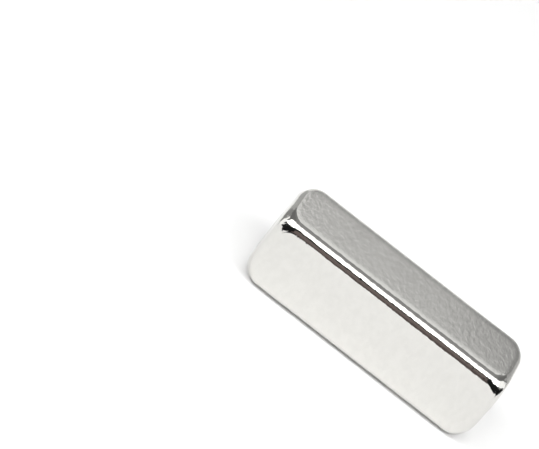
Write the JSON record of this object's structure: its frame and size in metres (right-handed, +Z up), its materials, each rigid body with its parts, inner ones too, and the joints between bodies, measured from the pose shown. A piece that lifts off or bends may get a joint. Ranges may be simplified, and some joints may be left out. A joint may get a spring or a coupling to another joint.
{
  "type": "block magnet",
  "caption": "Square-section bar magnet with rounded edges, rounder corners and a bright nickel finish.",
  "frame": {"origin": "middle of the bottom face", "axes": "+X along the bar, +Y across it, +Z up from the face it rests on"},
  "size_m": [0.025, 0.008, 0.008],
  "materials": {
    "nickel_plating": "polished"
  },
  "bodies": {
    "root": {"magnet_block": "nickel_plating"}
  },
  "joints": []
}
